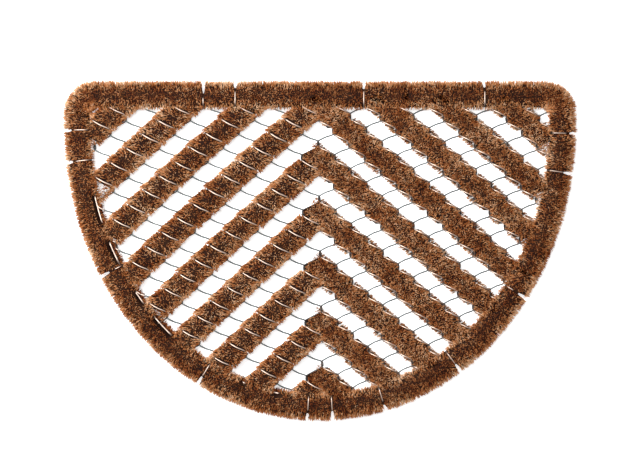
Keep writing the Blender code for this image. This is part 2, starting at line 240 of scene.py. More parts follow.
sky = bpy.data.worlds.new("soft_sky")
sky.use_nodes = True
background = sky.node_tree.nodes["Background"]
background.inputs["Color"].default_value = linear("#ffffff")
background.inputs["Strength"].default_value = SKY_STRENGTH
bpy.context.scene.world = sky
lamp_data = bpy.data.lights.new("lamp", "AREA")
lamp_data.shape = "DISK"
lamp_data.size = LAMP_SIZE
lamp_data.energy = LAMP_POWER
lamp = bpy.data.objects.new("lamp", lamp_data)
lamp.location = LAMP_PLACE
lamp.rotation_euler = (-LAMP_PLACE).to_track_quat("-Z", "Y").to_euler()
to_scene(lamp)
bpy.context.scene.view_settings.view_transform = "Standard"
print("lamp", round(LAMP_PLACE.length, 2), "m from the mat")

# %% [markdown]
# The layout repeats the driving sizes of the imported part, in millimetres. The outer edge is a
# straight side, two round corners and half an ellipse. It is kept here as a fine row of places
# with inward directions, so that any distance along the edge gives a place on it.

# %% Outline of the mat
HALF_WIDTH = 381
TOP_Y = 252
CORNER_RADIUS = 45
ELLIPSE_RISE = 440
ELLIPSE_Y = ELLIPSE_RISE - TOP_Y
CORNER_STEPS = 16
ELLIPSE_STEPS = 240


def arc_turns(first, last):
    return np.radians(np.linspace(first, last, CORNER_STEPS))


def run_along(path):
    """How far along a row of points each of them lies."""
    return np.concatenate(([0], np.cumsum(np.linalg.norm(np.diff(path, axis=0), axis=1))))


def along_path(path, run):
    """Places at distances along a row of points."""
    return np.column_stack([np.interp(run, run_along(path), row) for row in path.T])


corner_x = HALF_WIDTH - CORNER_RADIUS
corner_y = TOP_Y - CORNER_RADIUS
left_turn = arc_turns(180, 90)
right_turn = arc_turns(90, 0)
bow_turn = np.linspace(0, math.pi, ELLIPSE_STEPS + 1)
edge_x = np.concatenate((-corner_x + CORNER_RADIUS * np.cos(left_turn),
                         corner_x + CORNER_RADIUS * np.cos(right_turn),
                         HALF_WIDTH * np.cos(bow_turn)))
edge_y = np.concatenate((corner_y + CORNER_RADIUS * np.sin(left_turn),
                         corner_y + CORNER_RADIUS * np.sin(right_turn),
                         ELLIPSE_Y - ELLIPSE_RISE * np.sin(bow_turn)))
normal_x = np.concatenate((np.cos(left_turn), np.cos(right_turn), np.cos(bow_turn) / HALF_WIDTH))
normal_y = np.concatenate((np.sin(left_turn), np.sin(right_turn), -np.sin(bow_turn) / ELLIPSE_RISE))
EDGE = np.column_stack((edge_x, edge_y))
INWARD = -np.column_stack((normal_x, normal_y))
INWARD /= np.linalg.norm(INWARD, axis=1)[:, None]
EDGE = np.vstack((EDGE, EDGE[:1]))
INWARD = np.vstack((INWARD, INWARD[:1]))
EDGE_RUN = run_along(EDGE)


def edge_at(distance):
    """Places on the outer edge and inward directions, at distances along it in millimetres."""
    distance = np.mod(distance, EDGE_RUN[-1])
    point, inward = (np.column_stack([np.interp(distance, EDGE_RUN, row) for row in rows.T])
                     for rows in (EDGE, INWARD))
    return point, inward / np.linalg.norm(inward, axis=1)[:, None]


def edge_distance(x, y):
    """How far along the outer edge the place nearest to x, y lies."""
    nearest = np.argmin(np.hypot(EDGE[:, 0] - x, EDGE[:, 1] - y))
    around = np.linspace(EDGE_RUN[max(nearest - 1, 0)],
                         EDGE_RUN[min(nearest + 1, len(EDGE_RUN) - 1)], 200)
    point = edge_at(around)[0]
    return around[np.argmin(np.hypot(point[:, 0] - x, point[:, 1] - y))]


def depth_inside(x, y):
    """How far inside the outer edge each place lies; the outline is convex."""
    start = EDGE[:-1]
    side = np.diff(EDGE, axis=0)
    length = np.linalg.norm(side, axis=1)
    keep = length > 0.01
    start, side, length = start[keep], side[keep], length[keep]
    inward = np.column_stack((side[:, 1], -side[:, 0])) / length[:, None]
    depth = np.full(len(x), np.inf)
    for corner, normal in zip(start, inward):
        depth = np.minimum(depth, (x - corner[0]) * normal[0] + (y - corner[1]) * normal[1])
    return depth


print("edge length in mm:", round(EDGE_RUN[-1]))

# %% [markdown]
# The chain-link net sets all other places. Its spirals run from the straight edge to the bow,
# and each hooks into its neighbours at the knots. The front legs of the spirals slope down to
# the right, the back legs down to the left. Bars fill one cell in two, so on the left the
# front legs cross the bars, and on the right they run along the bars' edges. A real net is
# never quite regular: it is laid out straight here, and one function then pulls it askew.

# %% Net and bar layout
COLUMN = 23.85  # from one knot to the next across the mat
ROW = 20.68  # and down the mat
PITCH = math.hypot(COLUMN, ROW)
FIRST_KNOT_Y = 162.2
MID_Z = 16
LEG_RISE = 5
TURN_DROP = 8.2
TURN_REACH = 0.2
CHEVRON_ROWS = 4  # from one chevron to the next
APEX_ROW = -3
CHEVRONS = range(-3, 6)
LEFT, RIGHT = -1, 1
PULL_X = 298  # half the width and half the height of the area that the pull was fitted on
PULL_Y = 179
PULL_MIDDLE_Y = 46
# Each row: the pull of the middle, then how it grows to the right, down, to the corners, and
# to both sides
PULL_RIGHT = (-0.7, -6.4, 3.3, -6.3, -2.4)
PULL_DOWN = (2.6, -3.0, -1.0, -5.0, 2.2)
SPREAD = 1.4  # how far a full row of coir pushes its knots apart, each way
INVERSE_STEPS = 3


def bar_axes(side, chevron):
    """Apex, direction along and direction across one bar."""
    apex = np.array([0.0, FIRST_KNOT_Y - ROW * (CHEVRON_ROWS * chevron + APEX_ROW)])
    along = np.array([side * COLUMN, -ROW]) / PITCH
    return apex, along, np.array([-along[1], along[0]])


def leg_shear(side):
    """How far along a bar the legs that cross it move for each millimetre across it."""
    _, along, across = bar_axes(side, 0)
    leg = np.array([-side * (COLUMN + 2 * TURN_REACH), TURN_DROP - ROW])
    return leg.dot(along) / leg.dot(across)


def signed_offset(x, y):
    """How far above or below the middle line of the nearest bar a place of the net is."""
    apex, _, across = bar_axes(RIGHT, 0)
    spacing = CHEVRON_ROWS * ROW * across[1]
    offset = np.abs(x) * across[0] + y * across[1] - apex.dot(across)
    return np.mod(offset + spacing / 2, spacing) - spacing / 2


def in_net(x, y):
    """Where places of the regular net lie on the mat.

    The net is pulled askew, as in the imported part, and the stuffed cells are a little wider
    than the empty ones.
    """
    across = bar_axes(RIGHT, 0)[2]
    half = CHEVRON_ROWS * ROW * across[1] / 4
    offset = signed_offset(x, y)
    share = np.where(np.abs(offset) < half, offset / half, np.sign(offset) * 2 - offset / half)
    right, down = x / PULL_X, (PULL_MIDDLE_Y - y) / PULL_Y
    terms = (1, right, down, right * down, right * right)
    moved_x = x + sum(factor * term for factor, term in zip(PULL_RIGHT, terms))
    moved_y = y - sum(factor * term for factor, term in zip(PULL_DOWN, terms))
    return (moved_x + SPREAD * share * across[0] * np.clip(x / COLUMN, -1, 1),
            moved_y + SPREAD * share * across[1])


def offset_from_bar(x, y):
    """How far places on the mat are from the middle line of the nearest bar, in the net."""
    net_x, net_y = x, y
    for _ in range(INVERSE_STEPS):
        guess_x, guess_y = in_net(net_x, net_y)
        net_x, net_y = net_x + x - guess_x, net_y + y - guess_y
    return np.abs(signed_offset(net_x, net_y))


print("bars", round(CHEVRON_ROWS * ROW * COLUMN / PITCH, 1), "mm apart")

# %% [markdown]
# Each wire is a Bezier curve with a round bevel. Short handles along the middle direction at each
# corner round the turns and give the ends of the legs a gentle bend. All wires of a kind become
# one mesh. Curves suit wire better than extruded rings, because the section turns smoothly
# round every bend.

# %% Wire from curves
WIRE_RING_STEPS = 1
WIRE_LENGTH_STEPS = 4
HANDLE_SHARE = 0.36
LONGEST_HANDLE = 2.6
# Where a wire gets its painted highlight: near a bar's middle line or inside the border, above
# these heights
HIGHLIGHT_CROSSING = 14.2
HIGHLIGHT_ALONG = 20
HIGHLIGHT_FROM_Z = 10
TURN_HIGHLIGHT_FROM_Z = 5
HIGHLIGHT_RISE = 6
HIGHLIGHT_FADE = 2
BORDER_INNER = 41
HIGHLIGHT_PAST_BORDER = 1


def set_handles(points, path, cyclic):
    """Point both handles of each corner along the middle of its two directions."""
    count = len(path)
    for index, point in enumerate(points):
        before = path[index - 1] if index > 0 or cyclic else path[0]
        after = path[(index + 1) % count] if index + 1 < count or cyclic else path[-1]
        ways = [path[index] - before, after - path[index]]
        lengths = [np.linalg.norm(way) for way in ways]
        tangent = sum(way / max(length, MM) for way, length in zip(ways, lengths))
        tangent /= np.linalg.norm(tangent)
        back, ahead = (min(HANDLE_SHARE * length, LONGEST_HANDLE) for length in lengths)
        point.handle_left = Vector(path[index] - tangent * back) * MM
        point.handle_right = Vector(path[index] + tangent * ahead) * MM


def wire_mesh(name, paths, radius, cyclic=False):
    """One mesh of round wires that follow the paths, in millimetres."""
    data = bpy.data.curves.new(name, "CURVE")
    data.dimensions = "3D"
    data.bevel_depth = radius * MM
    data.bevel_resolution = WIRE_RING_STEPS
    data.resolution_u = WIRE_LENGTH_STEPS
    data.use_fill_caps = True
    for path in paths:
        spline = data.splines.new("BEZIER")
        spline.bezier_points.add(len(path) - 1)
        for point, spot in zip(spline.bezier_points, path):
            point.co = Vector(spot) * MM
            point.handle_left_type = "FREE"
            point.handle_right_type = "FREE"
        set_handles(spline.bezier_points, np.array(path), cyclic)
        spline.use_cyclic_u = cyclic
    curve = bpy.data.objects.new(name, data)
    to_scene(curve)
    evaluated = curve.evaluated_get(bpy.context.evaluated_depsgraph_get())
    mesh = bpy.data.meshes.new_from_object(evaluated)
    bpy.data.objects.remove(curve)
    shape = bmesh.new()
    shape.from_mesh(mesh)
    bmesh.ops.remove_doubles(shape, verts=shape.verts, dist=0.01 * MM)
    bmesh.ops.recalc_face_normals(shape, faces=shape.faces)
    shape.to_mesh(mesh)
    shape.free()
    return mesh


def add_painted_highlight(mesh):
    """Paint a highlight into a wire where it lies high in coir; over the gaps it stays darker grey.
    """
    spots = np.empty(len(mesh.vertices) * 3)
    mesh.vertices.foreach_get("co", spots)
    x, y, z = spots.reshape(-1, 3).T / MM
    crosses = (x < 0) == (z > MID_Z)
    limit = np.where(crosses, HIGHLIGHT_CROSSING, HIGHLIGHT_ALONG)
    in_bar = np.clip((limit - offset_from_bar(x, y)) / HIGHLIGHT_FADE, 0, 1)
    lowest = np.where(x < 0, HIGHLIGHT_FROM_Z, TURN_HIGHLIGHT_FROM_Z)
    in_bar *= np.clip((z - lowest) / HIGHLIGHT_RISE, 0, 1)
    highlight_to = BORDER_INNER + HIGHLIGHT_PAST_BORDER
    in_border = np.clip((highlight_to - depth_inside(x, y)) / HIGHLIGHT_FADE, 0, 1)
    value = np.maximum(in_bar, in_border)
    mesh.attributes.new("painted_highlight", "FLOAT", "POINT").data.foreach_set("value", value)


def add_piece(name, mesh, material, slot, *nodes):
    """Put a finished mesh in the scene as a piece that stands for some CAD nodes."""
    mesh.materials.clear()
    mesh.materials.append(material)
    mesh.shade_smooth()
    piece = bpy.data.objects.new(name, mesh)
    to_scene(piece)
    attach(piece, "root")
    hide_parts(*nodes)


def triangles(mesh):
    return sum(len(face.vertices) - 2 for face in mesh.polygons)


# %% [markdown]
# The frame wire follows the edge inside the border. In a few stretches on the left its coir is
# worn away on the inner side, and there the wire lies bare and springs up a little.

# %% Frame wire
FRAME_INSET = 33
FRAME_RADIUS = 1.5
FRAME_POINTS = 220
BARE_STRETCHES = (
    # from x, y to x, y on the inner side of the border
    (-338, 82, -324, 40),
    (-315, 16, -299, -21),
    (-277, -60, -259, -80),
    (-250, -100, -222, -128),
    (-120, -196, -112, -201),
    (-71, -213, -60, -219),
)
BARE_FADE = 5
BARE_RISE = 5


def bare_share(distance):
    """From 0 to 1: how bare the frame wire lies at distances along the edge."""
    share = np.zeros(len(distance))
    for first_x, first_y, last_x, last_y in BARE_STRETCHES:
        low, high = sorted((edge_distance(first_x, first_y), edge_distance(last_x, last_y)))
        inside = np.minimum(distance - low, high - distance) / BARE_FADE + 0.5
        share = np.maximum(share, np.clip(inside, 0, 1))
    return share


distances = np.linspace(0, EDGE_RUN[-1], FRAME_POINTS, endpoint=False)
spots, inward = edge_at(distances)
heights = MID_Z + BARE_RISE * bare_share(distances)
ring = np.column_stack((spots + inward * FRAME_INSET, heights))
frame_mesh = wire_mesh("frame_ring", [ring], FRAME_RADIUS, cyclic=True)
add_painted_highlight(frame_mesh)
add_piece("frame_ring", frame_mesh, zinc, "galvanised_wire", "wire_mesh")
print("frame wire:", triangles(frame_mesh), "triangles")

# %% [markdown]
# A spiral is flattened, so it is a zigzag of straight legs with a tight turn at each knot. A
# leg that crosses a bar or runs along its edge bows out, because the coir pushes it. The spiral
# is cut where it meets the frame wire, and each end hooks round that wire.

# %% Wire spirals
WIRE_RADIUS = 1.22
COLUMNS_A_SIDE = 15
ROWS_ABOVE = 5
CROSSING_BOW = 2.6
CROSSING_SAG = 1.1
EDGE_BOW = 4.6
SHORTEST_RUN = 30
CROSSING_STEPS = 24
HOOK_REACH = 2.4


def spiral_path(column):
    """Corner points of one flattened spiral, past both edges of the mat."""
    left = column * COLUMN - TURN_REACH
    right = (column + 1) * COLUMN + TURN_REACH
    front = MID_Z + LEG_RISE
    back = MID_Z - LEG_RISE
    rows_up = ROWS_ABOVE if (column + ROWS_ABOVE) % 2 == 0 else ROWS_ABOVE + 1
    upper = FIRST_KNOT_Y + rows_up * ROW
    path = []
    while upper > -TOP_Y - 2 * ROW:
        middle = upper - ROW
        lower = middle - ROW
        path += [(*in_net(left, upper - TURN_DROP / 2), front),
                 (*in_net(right, middle + TURN_DROP / 2), front),
                 (*in_net(right, middle - TURN_DROP / 2), back),
                 (*in_net(left, lower + TURN_DROP / 2), back)]
        upper = lower
    return np.array(path)


def meeting_place(inside, outside):
    """Where a leg meets the line of the frame wire."""
    low, high = 0.0, 1.0
    for _ in range(CROSSING_STEPS):
        middle = (low + high) / 2
        spot = inside + (outside - inside) * middle
        if depth_inside(spot[:1], spot[1:2])[0] > FRAME_INSET:
            low = middle
        else:
            high = middle
    return inside + (outside - inside) * low


def hook(inside, outside):
    """The end of a run: it meets the frame wire, passes over it and turns down behind it."""
    meeting = meeting_place(inside, outside)
    step = meeting - inside
    step[2] = 0
    step /= np.linalg.norm(step)
    side = math.copysign(FRAME_RADIUS + WIRE_RADIUS, inside[2] - MID_Z)
    over = np.array([meeting[0], meeting[1], MID_Z + side])
    behind = over + step * HOOK_REACH
    behind[2] = MID_Z
    return [over, behind]


def spiral_runs(path):
    """The runs of a spiral inside the frame wire, each hooked on it at both ends."""
    within = depth_inside(path[:, 0], path[:, 1]) > FRAME_INSET
    changes = np.flatnonzero(np.diff(within)) + 1
    return [hook(path[first], path[first - 1])[::-1] + list(path[first:end])
            + hook(path[end - 1], path[end])
            for first, end in zip(changes, changes[1:]) if within[first]]


def with_bows(run):
    """Add the bow of each leg that crosses a bar or lies along its edge.

    The winding also leaves each leg that runs across the bars a little round to one side.
    """
    result = [run[0]]
    for before, after in zip(run, run[1:]):
        middle = (before + after) / 2
        step = after - before
        if abs(step[0]) > COLUMN / 2:
            offset = offset_from_bar(middle[:1], middle[1:2])[0]
            front_leg = before[2] > MID_Z
            if (middle[0] < 0) == front_leg:
                bow = CROSSING_BOW if offset < ROW / 2 else 0
                middle[0] -= CROSSING_SAG * ROW / PITCH
                middle[1] += CROSSING_SAG * COLUMN / PITCH * (-1 if front_leg else 1)
            else:
                bow = EDGE_BOW
            middle[2] += bow if front_leg else -bow
            result.append(middle)
        result.append(after)
    return result


paths = []
for column in range(-COLUMNS_A_SIDE, COLUMNS_A_SIDE):
    for run in spiral_runs(spiral_path(column)):
        length = sum(np.linalg.norm(after - before) for before, after in zip(run, run[1:]))
        if length > SHORTEST_RUN:
            paths.append(with_bows(run))
spirals_mesh = wire_mesh("wire_spirals", paths, WIRE_RADIUS)
add_painted_highlight(spirals_mesh)
add_piece("wire_spirals", spirals_mesh, zinc, "galvanised_wire", "wire_mesh")
print("spirals:", len(paths), "runs,", triangles(spirals_mesh), "triangles")

# %% [markdown]
# A brush is drawn in two layers. A dark core, a little under the tips, stands for the packed
# fibres that only show as shade. Over it stand the fibres, each its own slim closed spindle: a
# root point inside the core, one ring of three corners off the straight line, which bends it,
# and a tip. Six triangles a fibre leave room for well over a hundred thousand of them. They
# are made from arrays, because operators would take minutes for so many.

# %% Fibres from arrays
FIBRE_RADIUS = 0.50  # real coir is about 0.15 mm in radius; drawn coarser, to show as fibres
THICKNESS_RANGE = (0.75, 1.25)
RING_PLACE = 0.58
BEND_SHARE = 0.06
# the core's reach is low, so the core is painted with almost the full root shade
CORE_REACH = 0.12
LOCK_SIZE = 3.4
LOCK_PULL = 0.30
LOCK_WANDER = 0.6
WANDER_SIZE = 5
CORE_TONES = (0.2, 0.7)
TABLE_SIZE = 256
TABLE_START = (97.3, 53.7)
TONE_PATCHES = (
    # strength, size in millimetres and seed of each kind of patch
    (0.20, 1.7, 4),
    (0.16, 6, 8),
    (0.13, 32, 5),
)
TONE_CHANCE = 0.12
random = np.random.default_rng(20)


def drift(x, y, size, seed):
    """Smooth random values between -1 and 1, which change over about the given size."""
    table = np.random.default_rng(seed).uniform(-1, 1, (TABLE_SIZE, TABLE_SIZE))
    column, row = x / size + TABLE_START[0], y / size + TABLE_START[1]
    left, low = np.floor(column).astype(int), np.floor(row).astype(int)
    across, up = column - left, row - low
    across, up = across * across * (3 - 2 * across), up * up * (3 - 2 * up)
    left, right = left % TABLE_SIZE, (left + 1) % TABLE_SIZE
    low, high = low % TABLE_SIZE, (low + 1) % TABLE_SIZE
    near = table[left, low] * (1 - across) + table[right, low] * across
    far = table[left, high] * (1 - across) + table[right, high] * across
    return near * (1 - up) + far * up


def gather_locks(tips):
    """Pull tips towards shared points, because coir dries in small locks."""
    x, y = tips[:, 0], tips[:, 1]
    wander = LOCK_SIZE * LOCK_WANDER
    column = np.floor((x + wander * drift(x, y, WANDER_SIZE, 1)) / LOCK_SIZE)
    row = np.floor((y + wander * drift(x, y, WANDER_SIZE, 2)) / LOCK_SIZE)
    table = np.random.default_rng(3).uniform(0.2, 0.8, (TABLE_SIZE, TABLE_SIZE, 2))
    target = table[column.astype(int) % TABLE_SIZE, row.astype(int) % TABLE_SIZE]
    target = (np.column_stack((column, row)) + target) * LOCK_SIZE
    result = tips.copy()
    result[:, :2] += LOCK_PULL * (target - tips[:, :2])
    return result


def fibre_arrays(roots, tips, tones):
    """Corners, triangles, reach and tone of one spindle for each root and tip."""
    count = len(roots)
    line = tips - roots
    length = np.linalg.norm(line, axis=1)[:, None]
    line = line / length
    helper = np.where(np.abs(line[:, 2:]) < 0.9, [[0.0, 0.0, 1.0]], [[1.0, 0.0, 0.0]])
    first = np.cross(line, helper)
    first /= np.linalg.norm(first, axis=1)[:, None]
    second = np.cross(line, first)
    bend = random.normal(0, BEND_SHARE, (count, 2)) * length
    middle = roots + line * length * RING_PLACE + first * bend[:, :1] + second * bend[:, 1:]
    radius = FIBRE_RADIUS * random.uniform(*THICKNESS_RANGE, (count, 1))
    turn = random.uniform(0, math.tau, (count, 1))
    corners = np.empty((count, 5, 3))
    corners[:, 0] = roots
    for corner in range(3):
        angle = turn + corner * math.tau / 3
        corners[:, 1 + corner] = middle + radius * (first * np.cos(angle) + second * np.sin(angle))
    corners[:, 4] = tips
    pattern = np.array([(2, 1, 0), (3, 2, 0), (1, 3, 0), (1, 2, 4), (2, 3, 4), (3, 1, 4)])
    faces = (np.arange(count)[:, None, None] * 5 + pattern).reshape(-1, 3)
    reach = np.tile([0.0, RING_PLACE, RING_PLACE, RING_PLACE, 1.0], count)
    return corners.reshape(-1, 3), faces, reach, np.repeat(tones, 5)


def brush_mesh(name, core, roots, tips, tones):
    """One mesh of a core, a bmesh in millimetres, and its fibres. The core is freed."""
    bmesh.ops.triangulate(core, faces=core.faces)
    bmesh.ops.recalc_face_normals(core, faces=core.faces)
    core.verts.index_update()
    core_spots = np.array([vert.co for vert in core.verts])
    core_faces = np.array([[vert.index for vert in face.verts] for face in core.faces])
    core.free()
    corners, faces, reach, tone_values = fibre_arrays(roots, tips, tones)
    mesh = bpy.data.meshes.new(name)
    spots = np.vstack((core_spots, corners)) * MM
    spots[:, 2] = np.maximum(spots[:, 2], 0.1 * MM)
    mesh.from_pydata(spots, [], np.vstack((core_faces, faces + len(core_spots))).tolist())
    core_reach = np.full(len(core_spots), CORE_REACH)
    core_tone = random.uniform(*CORE_TONES, len(core_spots))
    values = {"reach": (core_reach, reach), "tone": (core_tone, tone_values)}
    for attribute, parts in values.items():
        data = mesh.attributes.new(attribute, "FLOAT", "POINT").data
        data.foreach_set("value", np.concatenate(parts))
    return mesh


def fibre_tones(tips, middle):
    """A tone for each fibre: partly shared with its neighbours, and partly chance."""
    x, y, _ = tips.T
    shared = sum(strength * drift(x, y, size, seed) for strength, size, seed in TONE_PATCHES)
    return np.clip(middle + shared + random.normal(0, TONE_CHANCE, len(tips)), 0.02, 0.98)


# %% [markdown]
# A bar is two brushes back to back, gripped in the net. The face that the wires cross is
# open: in each cell its tuft fans out from the grip, to both sides and towards both wires. The
# other face is held: two wires run along its edges and keep its fibres almost upright. On the
# left the open face is on top, and on the right it is underneath, where its fans show as
# small clumps beside the bar. The open face comes first.

# %% Open face of a bar
HALF_OPEN = 20.5
GRIP_Z = 15.5
OPEN_GRIP = 0.34
WIRE_CLEAR = 1.5
WIRE_SHOWS = 13.2
WIRE_FADE = 1.5
OVERLAP = 1.6
SAWTOOTH = (0.8, 1.7)
FAN_TURN = 102
FAN_FULLNESS = 0.85
FAN_FLATNESS = 0.55
FAN_MIDDLE_Z = 22.5
FAN_RISE = 9.3
CELL_END_DROP = 2.6
CELL_END_POWER = 5
TIP_CHANCE = 0.5


def rounded(value, power):
    """Values from -1 to 1, crowded towards the ends by a power below 1."""
    return np.sign(value) * np.abs(value) ** power


def open_face(cells, count, ragged, fall, steepness):
    """Place along and across the bar and height of the tips, and of the grip they fan from.

    Cells are the middles of the cells, ragged how far each cell's fan falls short on the two
    sides, and fall and steepness how it narrows towards the wires. All are in millimetres, and
    places along are before the shear of the wires.
    """
    cell = random.integers(0, len(cells), count)
    share = rounded(random.uniform(-1, 1, count), FAN_FULLNESS)
    turn = np.radians(random.uniform(-FAN_TURN, FAN_TURN, count))
    reach = HALF_OPEN - fall * np.abs(share) ** steepness
    reach += np.where(turn > 0, SAWTOOTH[1] * share - ragged[0][cell],
                      SAWTOOTH[0] * share - ragged[1][cell])
    across = reach * rounded(np.sin(turn), FAN_FULLNESS)
    rise = rounded(np.cos(turn), FAN_FLATNESS)
    height = FAN_MIDDLE_Z + FAN_RISE * rise - CELL_END_DROP * np.abs(share) ** CELL_END_POWER
    clear = np.interp(np.abs(across), (WIRE_SHOWS - WIRE_FADE, WIRE_SHOWS + WIRE_FADE),
                      (WIRE_CLEAR, -OVERLAP))
    along = cells[cell] + share * (PITCH / 2 - clear)
    tip = np.column_stack((along, across, height + random.normal(0, TIP_CHANCE, count)))
    grip = np.column_stack((cells[cell] + 0.5 * (along - cells[cell]), OPEN_GRIP * across,
                            np.full(count, GRIP_Z)))
    return tip, grip


print("open fans reach", HALF_OPEN, "mm from the middle of a bar")

# %% [markdown]
# The held face ends at its two wires, a leg in each cell, and swells a little at the knots.
# Below each wire some fibres escape sideways, in teeth like those of a comb.

# %% Held face and its combs
HALF_HELD = 15.4
EDGE_ZIGZAG = 5.5
HELD_GRIP = 0.55
HELD_FULLNESS = 0.9
HELD_EDGE_DROP = 4.2
EDGE_POWER = 6
APEX_REACH = 2.2
KNOT_COVER = 2.4
KNOT_COVER_FROM = 3
EDGE_OF_WIRES = 16.2
COMB_HALF = 0.46
COMB_PAD = 0.3
COMB_GRIP = 9
COMB_GRIP_DROP = 3
COMB_HEIGHT = (6, 13)
COMB_SQUARENESS = 0.8
TOOTH_SPACING = 1.8
TOOTH_SHIFT = 0.6
TOOTH_LEAN = 1.2
TOOTH_DEPTH = (0.65, 1.0)
TOOTH_SPREAD = (0.55, 0.5, 0.6)  # of its tips along, across and up
TOOTH_GRIP_SPREAD = 0.9
FIBRES_A_TOOTH = 6


def held_face(cells, count, shear):
    """Tips and grips like those of open_face, between two wires that zigzag along its edges."""
    run = random.uniform(cells[0] - PITCH / 2 - APEX_REACH, cells[-1] + PITCH / 2, count)
    share = random.uniform(-1, 1, count)
    knot = np.where(share > 0, ROW, COLUMN) ** 2 / PITCH
    leg_share = np.mod((run - cells[0] + knot) / PITCH, 1)
    limit = HALF_HELD + np.sign(share) * EDGE_ZIGZAG * (leg_share - 0.5)
    covered = run > cells[0] - PITCH / 2 + KNOT_COVER_FROM
    limit += KNOT_COVER * np.abs(2 * leg_share - 1) ** EDGE_POWER * covered
    across = limit * rounded(share, HELD_FULLNESS)
    height = PILE_TOP - HELD_EDGE_DROP * np.abs(share) ** EDGE_POWER
    along = run - across * shear
    tip = np.column_stack((along, across, height + random.normal(0, TIP_CHANCE, count)))
    grip = np.column_stack((along, HELD_GRIP * across, np.full(count, GRIP_Z)))
    return tip, grip


def comb(cells, side_sign, shortest, longest, shear):
    """Fibres that poke out in teeth below a wire along a held face's edge, a comb in each cell."""
    tips, grips = [], []
    for cell in cells:
        begin, end = np.sort(random.uniform(-0.5, 0.5, 2))
        begin, end = max(begin - COMB_PAD, -COMB_HALF), min(end + COMB_PAD, COMB_HALF)
        deepest = random.uniform(shortest, longest)
        for run in np.arange(begin * PITCH, end * PITCH, TOOTH_SPACING):
            run = cell + run + random.uniform(-TOOTH_SHIFT, TOOTH_SHIFT)
            deep = EDGE_OF_WIRES + deepest * random.uniform(*TOOTH_DEPTH)
            lean = random.uniform(-TOOTH_LEAN, TOOTH_LEAN)
            low = random.uniform(*COMB_HEIGHT)
            for _ in range(FIBRES_A_TOOTH):
                offset = side_sign * (deep + random.normal(0, TOOTH_SPREAD[1]))
                across_run = run - offset * shear * COMB_SQUARENESS
                tips.append((across_run + lean + random.normal(0, TOOTH_SPREAD[0]), offset,
                             low + random.normal(0, TOOTH_SPREAD[2])))
                grips.append((across_run + random.normal(0, TOOTH_GRIP_SPREAD),
                              side_sign * COMB_GRIP, GRIP_Z - COMB_GRIP_DROP))
    return np.array(tips), np.array(grips)


print("held fibres reach", HALF_HELD, "mm, and combs start at", EDGE_OF_WIRES, "mm")

# %% [markdown]
# A tip and its grip only give a direction. The fibre that is drawn is the last centimetre or so
# below the tip. It leans a little with its neighbours, and a little by chance.

# %% From tips to fibres
SHORTEST_FIBRE = 9.5
LONGEST_FIBRE = 13.5
LEAN_CHANCE = 0.08
LEAN_SHARE = 0.16
LEAN_PATCH = 4.5
STRETCH_CHANCE = 0.7
STRAY_SHARE = 0.02
STRAY_LENGTH = 2.6


def lay_fibres(tip, grip, length_share=1.0):
    """Roots and tips: each fibre starts somewhat under its tip, on the line to its grip.

    The length share, one value or one for each fibre, shortens the part that is drawn.
    """
    count = len(tip)
    line = tip - grip
    whole = np.linalg.norm(line, axis=1)[:, None]
    line = line / whole + random.normal(0, LEAN_CHANCE, (count, 3))
    for axis, seed in ((0, 6), (1, 7)):
        line[:, axis] += LEAN_SHARE * drift(tip[:, 0], tip[:, 1], LEAN_PATCH, seed)
    line /= np.linalg.norm(line, axis=1)[:, None]
    length = random.uniform(SHORTEST_FIBRE, LONGEST_FIBRE, count) * length_share
    root = tip - line * length[:, None]
    stretch = random.normal(0, STRETCH_CHANCE, (count, 1))
    stray = random.uniform(0, 1, (count, 1)) < STRAY_SHARE
    return root, tip + line * np.where(stray, STRAY_LENGTH, stretch)


print("fibres are", SHORTEST_FIBRE, "to", LONGEST_FIBRE, "mm long")

# %% [markdown]
# The core of a bar is a row of twelve-sided sections that are bridged to each other. At each wire
# that crosses the bar the section is low and narrow, so the core dips under the wire, and
# between two wires it is full.

# %% Core of a bar
CORE_FULL = ((8.0, 5), (11.0, 9), (10.5, 14), (14.0, 19), (17.5, 23.0), (10.0, 27.2))
CORE_AT_WIRE = ((8.0, 5), (13.0, 8), (13.5, 11.5), (12.0, 14), (9.5, 16.5), (5.0, 18))
FULL_AFTER_WIRE = 5


def turned_over(section):
    return tuple((distance, PILE_TOP - height) for distance, height in reversed(section))


def bridged_core(sections):
    """A bmesh of closed sections bridged in their order, with a cap at both ends."""
    shape = bmesh.new()
    loops = []
    for section in sections:
        made = bmesh.ops.create_circle(shape, segments=len(section), radius=1)["verts"]
        for vert, spot in zip(made, section):
            vert.co = spot
        loops.append(list({edge for vert in made for edge in vert.link_edges}))
    for near, far in zip(loops, loops[1:]):
        bmesh.ops.bridge_loops(shape, edges=near + far)
    bmesh.ops.holes_fill(shape, edges=shape.edges, sides=0)
    return shape


def bar_section(side, spot, axes, section):
    """Corners of a core's section, sheared along with the wires."""
    apex, along, across = axes
    outline = list(section) + [(-distance, height) for distance, height in reversed(section)]
    result = []
    for offset, height in outline:
        place = apex + along * (spot + offset * leg_shear(side)) + across * offset
        result.append(Vector((*in_net(*place), height)))
    return result


# %% [markdown]
# A bar starts at the middle line, or behind the straight edge, and ends inside the border,
# whose fibres cover its end. The right bar holds the cell at the apex of its chevron, and the
# left bar butts against it.

# %% Coir bars
FIRST_WIRE = {LEFT: 0.5, RIGHT: -0.5}
MOST_CELLS = 16
BAR_END_INSET = 37.5
OPEN_DENSITY = 18
HELD_DENSITY = 17.2
UNDER_DENSITY = 3
RAGGED = {LEFT: (-0.7, 0.9), RIGHT: (1.0, 4.0)}
NARROWING = {LEFT: (0.4, 8), RIGHT: (6.0, 2.4)}
CORE_END_INSET = 14
BAR_TONE = 0.63
# painted light: a paler tone for the low comb teeth, which stand in shade
COMB_LIT_TONE = 0.72
COMB_LENGTH_SHARE = (0.62, 1.0)
COMBS = (
    # side of the bar, shortest and longest reach past the wire
    (-1, 3.5, 8.0),
    (1, 1.5, 7.0),
)


